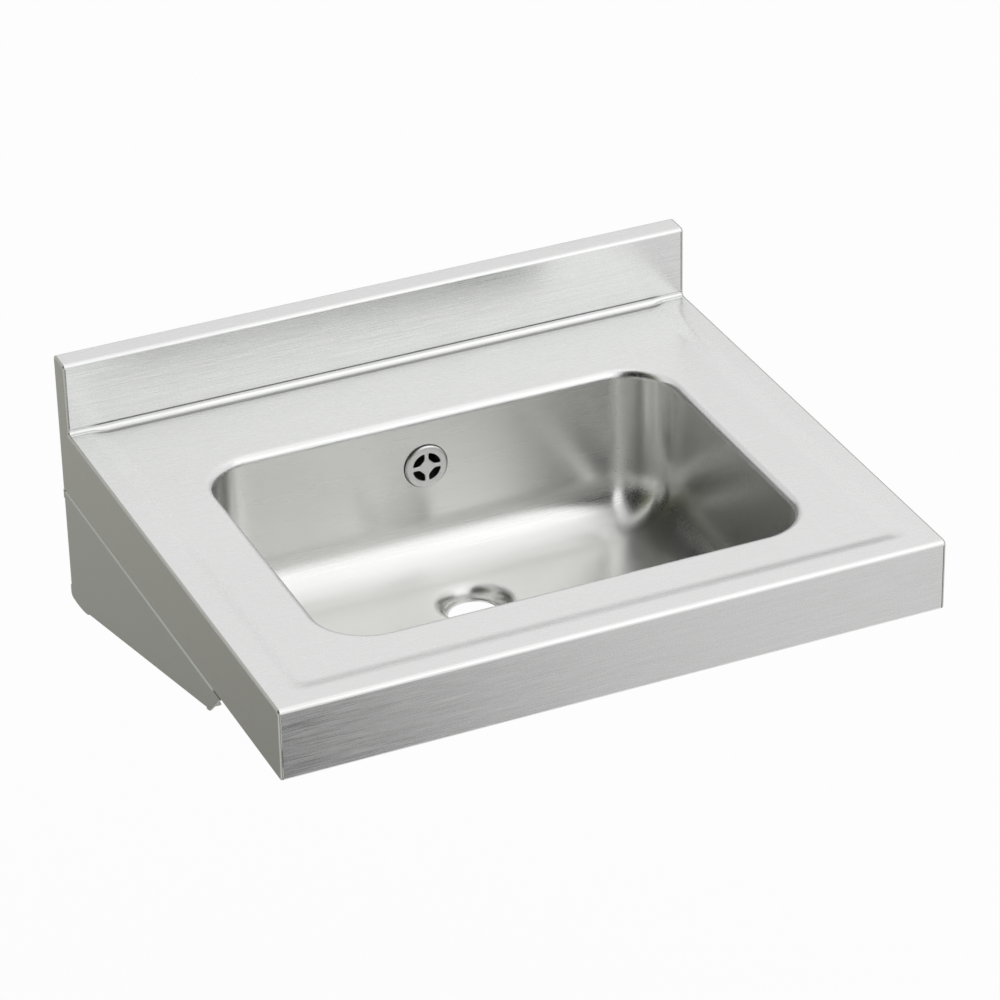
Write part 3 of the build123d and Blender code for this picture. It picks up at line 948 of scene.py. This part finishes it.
# %% Rubber and plastic
def plain(name, colour, roughness, blotch, strength):
    """Rubber or moulded plastic with a fine even texture of blotches."""
    material, shader = new_material(name)
    noise = grain(material, (1 / blotch,) * 3, 2)
    texture(material, shader, noise, (0, 1), roughness, 0.08, strength, 0.05 * mm)
    fill(shader, {"Base Color": (*colour, 1)})
    return material


# %% [markdown]
# ## The finishes
# The shell is brushed lengthwise. The bowl is a satin of its own, the end panels and brackets are
# rougher, and the grille is pressed and tumbled, so it has no grain. The end panels and brackets
# also have a darker colour than the shell's steel: painted shade, for sides that the light reaches
# less. The hanger is galvanised and the fasteners are zinc plated. Seals, pads and the elbow are
# black, and only their roughness tells them apart.

# %% Steels
shell_colour = (0.76, 0.765, 0.758)
shell_steel = steel("brushed_shell", shell_colour, 0.29, 0.09, (40 * mm, 0.5 * mm), 0.3, 0.5)
bowl_steel = steel("drawn_bowl_satin", (0.77, 0.773, 0.757), 0.25, 0.03, (60 * mm, 0.9 * mm), 0.06)
# The end panels and brackets are the shell's steel with a darker colour, which is painted shade.
shaded_panel_steel = steel("end_panel_satin", (0.52, 0.52, 0.49), 0.42, 0.03, (12 * mm, 2 * mm), 0.05)
shaded_bracket_steel = steel("bracket_satin", (0.50, 0.51, 0.48), 0.45, 0.04, (14 * mm, 2 * mm), 0.06)
grille_steel = steel("pressed_grille", (0.78, 0.78, 0.775), 0.34, 0.04, (3 * mm, 3 * mm), 0.05)
hanger_steel = steel("galvanised_hanger", (0.55, 0.57, 0.58), 0.5, 0.1, (9 * mm, 6 * mm), 0.1)
zinc = steel("zinc_fasteners", (0.62, 0.63, 0.64), 0.3, 0.06, (2 * mm, 1 * mm), 0.1)

# %% Painted shade lines, and the polishing of the bowl
shade_line_ends = recess_half + ramp_width
beside_lower, half_lower = 1.4 * mm, 2.6 * mm
beside_upper, half_upper = 0.8 * mm, 0.9 * mm
lower_line = backsplash_face - cove_radius - deck_recess - beside_lower
upper_line = cove_radius + beside_upper
# The painted shade beside the cove: the shell's colour darkened to 0.4 and 0.45 of itself.
lower_shade_colour = [0.4 * channel for channel in shell_colour]
upper_shade_colour = [0.45 * channel for channel in shell_colour]
painted_shade_line(shell_steel, lower_shade_colour, "Y", lower_line, half_lower, shade_line_ends)
painted_shade_line(shell_steel, upper_shade_colour, "Z", upper_line, half_upper, shade_line_ends)
print("Painted shade lines at Y", round(lower_line / mm, 1), "and Z", round(upper_line / mm, 1), "mm")

wheel_limit = floor_level + fall_at_back + 14 * mm
wheel_blend = 26 * mm
brush_round(bowl_steel, (0, bowl_middle, 0), 0.8)
rougher_below(bowl_steel, wheel_limit, wheel_blend, 0.08)
print("The wheel reaches less well below Z", round(wheel_limit / mm, 1), "mm")

# %% Black materials
black_rubber = plain("seal_rubber", (0.02, 0.02, 0.02), 0.6, 0.4 * mm, 0.2)
pad_rubber = plain("sound_pad_rubber", (0.05, 0.05, 0.055), 0.8, 0.8 * mm, 0.4)
black_plastic = plain("elbow_plastic", (0.025, 0.025, 0.022), 0.45, 0.6 * mm, 0.15)

# %% Every piece gets its finish
finish_of_node = {
    "overflow_front_seal": black_rubber,
    "overflow_gasket": black_rubber,
    "overflow_elbow": black_plastic,
    "wall_hanger": hanger_steel,
}
for side in ("left", "right"):
    finish_of_node[f"{side}_support_bracket"] = shaded_bracket_steel
    finish_of_node[f"{side}_bracket_bolts"] = zinc
    finish_of_node[f"{side}_bracket_nuts"] = zinc
dressed = [(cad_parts[name], finish) for name, finish in finish_of_node.items()]
dressed += [(deck, shell_steel), (bowl, bowl_steel), (grille, grille_steel)]
dressed += [(panel, shaded_panel_steel) for panel in end_panels]
dressed += [(pad, pad_rubber) for pad in pads]
for piece, finish in dressed:
    dress(piece, finish)
print("Pieces with a finish:", len(dressed))

# %% [markdown]
# ## Studio
# Steel shows its surroundings, so the studio is part of the finish. A studio lamp for every
# highlight would burn out the steel in other views. Here the background is white, and cards with
# grey shades, which only reflections see, stand where the steel should show something darker. Flat
# cards lie near the floor, and curved ones, drapes, hang round the lavatory like a tent.

# %% Places in the studio
aim = np.array([0, -0.25, 0])


def around(azimuth, elevation, distance):
    """A place seen from the bowl: azimuth from +Y towards +X, elevation above the deck."""
    a, e = math.radians(azimuth), math.radians(elevation)
    direction = np.array([math.cos(e) * math.sin(a), math.cos(e) * math.cos(a), math.sin(e)])
    return aim + distance * direction


# %% Shades on a card
def shade_material(name, shades, tint):
    """Shines with shades that follow each other in equal steps along the card's own U."""
    material = bpy.data.materials.new(name)
    material.use_nodes = True
    material.node_tree.nodes.clear()
    u_and_v = add(material, "ShaderNodeTexCoord", {}).outputs["UV"]
    u = add(material, "ShaderNodeSeparateXYZ", {0: u_and_v}).outputs["X"]
    steps = add(material, "ShaderNodeValToRGB", {"Fac": u})
    stops = steps.color_ramp.elements
    for position in np.linspace(0, 1, len(shades))[1:-1]:
        stops.new(float(position))
    for stop, shade in zip(stops, shades):
        stop.color = (*[shade * channel for channel in tint], 1)
    glow = add(material, "ShaderNodeEmission", {"Color": steps.outputs["Color"]})
    add(material, "ShaderNodeOutputMaterial", {"Surface": glow.outputs[0]})
    return material


# %% Cards and drapes
neutral = (1, 1, 1)


def shade_sheet(name, points, shades, tint):
    """A sheet over a grid of points, seen only in reflections. Its U runs along the columns."""
    index = numbered(points)
    faces = grid_faces(index)
    mesh = bpy.data.meshes.new(name)
    mesh.from_pydata(points.reshape(-1, 3).tolist(), [], faces.tolist())
    row, column = np.divmod(faces.ravel(), points.shape[1])
    places = np.column_stack([column / (points.shape[1] - 1), row / (points.shape[0] - 1)])
    mesh.uv_layers.new(name="along_and_up").data.foreach_set("uv", places.ravel())
    sheet_object = bpy.data.objects.new(name, mesh)
    bpy.context.scene.collection.objects.link(sheet_object)
    dress(sheet_object, shade_material(name, shades, tint))
    sheet_object.visible_camera = False
    sheet_object.visible_shadow = False
    sheet_object.visible_diffuse = False
    print(name, "has", len(faces), "faces and", len(shades), "shades")


def card(name, middle, facing, size, shades, tint=neutral):
    """A flat card with its face towards a point: middle plus shares of its side and up vectors."""
    middle = np.array(middle)
    normal = np.array(facing) - middle
    normal /= np.linalg.norm(normal)
    side = np.cross([0, 0, 1.0], normal)
    side /= np.linalg.norm(side)
    up = np.cross(normal, side)
    half = np.array([-0.5, 0.5])[:, None]
    across = half * size[0] * side
    points = middle + across[None] + (half * size[1] * up)[:, None]
    shade_sheet(name, points, shades, tint)


def drape(name, azimuths, elevations, distance, shades, tint=neutral):
    """A curved card round the bowl between two azimuths and two elevations."""
    columns, rows = np.linspace(*azimuths, 17), np.linspace(*elevations, 17)
    points = np.array([[around(azimuth, elevation, distance) for azimuth in columns] for elevation in rows])
    shade_sheet(name, points, shades, tint)


# %% [markdown]
# The bowl reflects the floor in front of it, the drapes behind it and the dark side of the room
# behind the camera. The shades were set by trial: a card is moved, the picture is rendered small,
# and the strip of steel that changed tells which direction it reflects.

# %% Cards near the floor
front_shades = (0, 0, 0, 0.03, 0.5, 0.68, 0.7, 0.66, 0.6)
left_shades = (0.28, 0.28, 0.42, 0.52, 0.42, 0.34)
warm_grey = (1, 1.01, 0.93)
card("front_floor_card", (0.35, -1.75, -0.78), (0.35, -1.8, 1), (2.2, 1.5), front_shades)
card("left_floor_card", (-1.0, 1.2, -0.77), (-0.95, 1.2, 1), (3.0, 1.9), left_shades, warm_grey)

# %% Drapes
olive = (1, 1.03, 0.6)
back_shades = (1, 0.95, 0.85, 0.75, 0.95, 0.98, 1, 1)
low_back_shades = (0.7, 0.6, 0.4, 0.35, 0.35, 0.4)
drape("camera_side_drape", (-172, -84), (2, 84), 3.4, (0, 0, 0, 0.05, 0.2), olive)
drape("back_drape", (-60, 50), (17, 52), 3.2, back_shades)
drape("low_back_drape", (-60, 60), (-2, 17), 3.2, low_back_shades)

# %% [markdown]
# ## Floor
# A plain floor that is lit like the object turns grey far from it. More light would burn out the
# steel, so the floor shines by itself, but only for rays that come straight from the camera or
# from a mirror. For all other rays it is plain paint, so it adds no light to the object and still
# shows a little of its shadow.

# %% Floor
floor_depth = -0.8
floor_half = 8
floor_glow = 0.9


def seen_directly(material):
    """1 for rays from the camera, from a mirror and through glass, and 0 for all others."""
    rays = add(material, "ShaderNodeLightPath", {}).outputs
    mirrored = calculate(material, "MAXIMUM", rays["Is Camera Ray"], rays["Is Glossy Ray"])
    return calculate(material, "MAXIMUM", mirrored, rays["Is Transmission Ray"])


def make_floor():
    """One square, with a material that mixes matt paint with white light."""
    signs = ((-1, -1), (1, -1), (1, 1), (-1, 1))
    corners = [(x * floor_half, y * floor_half, floor_depth) for x, y in signs]
    mesh = bpy.data.meshes.new("floor")
    mesh.from_pydata(corners, [], [(0, 1, 2, 3)])
    floor = bpy.data.objects.new("floor", mesh)
    bpy.context.scene.collection.objects.link(floor)
    paint, shader = new_material("pale_floor")
    fill(shader, {"Base Color": (0.8, 0.8, 0.8, 1), "Roughness": 0.9, "Specular IOR Level": 0.1})
    glow = add(paint, "ShaderNodeEmission", {"Strength": 1}).outputs[0]
    share = calculate(paint, "MULTIPLY", seen_directly(paint), floor_glow)
    blend = add(paint, "ShaderNodeMixShader", {0: share, 1: shader.outputs[0], 2: glow})
    fill(paint.node_tree.nodes["Material Output"], {"Surface": blend.outputs[0]})
    dress(floor, paint)


make_floor()

# %% [markdown]
# ## Light
# White surroundings light the object evenly, at a level where a colour renders about as it is
# written. Two large soft lamps, above and in front on the right, add the broad highlights.

# %% World
world = bpy.data.worlds.new("studio")
world.use_nodes = True
fill(world.node_tree.nodes["Background"], {"Color": (1, 1, 1, 1), "Strength": 1})
bpy.context.scene.world = world

# %% Lamps
lamp_size = 1.9


def lamp(name, place, watts):
    """A soft square lamp that looks at the bowl."""
    data = bpy.data.lights.new(name, "AREA")
    data.size = lamp_size
    data.energy = watts
    thing = bpy.data.objects.new(name, data)
    bpy.context.scene.collection.objects.link(thing)
    thing.location = place
    thing.rotation_euler = Vector(aim - place).to_track_quat("-Z", "Y").to_euler()


lamp("overhead", around(110, 72, 2.4), 2.3)
lamp("front_right", around(150, 35, 2.6), 5.0)

# %% [markdown]
# ## Camera
# The camera stands in front of the lavatory on its left and looks down at it. A Track To
# constraint would aim it, but it keeps the camera level, and this one is rolled by about a degree.
# So its turn is made of three plain turns: roll about its own axis, pitch, and heading about Z.

# %% Camera
camera_place = (-1.22877, -3.06409, 1.76976)
heading = math.radians(23.631)
pitch = math.radians(-30.1919)
roll = math.radians(-1.2345)
camera_data = bpy.data.cameras.new("camera")
camera_data.lens = 160.455
camera_data.sensor_width = 36
camera_data.shift_x = 0.0016
camera_data.shift_y = 0.0035
camera = bpy.data.objects.new("camera", camera_data)
bpy.context.scene.collection.objects.link(camera)
level_turn = Matrix.Rotation(-heading, 4, "Z") @ Matrix.Rotation(math.pi / 2 + pitch, 4, "X")
camera.matrix_world = Matrix.Translation(camera_place) @ level_turn @ Matrix.Rotation(roll, 4, "Z")
bpy.context.scene.camera = camera
bpy.context.scene.view_settings.view_transform = "Standard"
print("The camera is", round((Vector(camera_place) - Vector(aim)).length, 2), "m from the bowl")
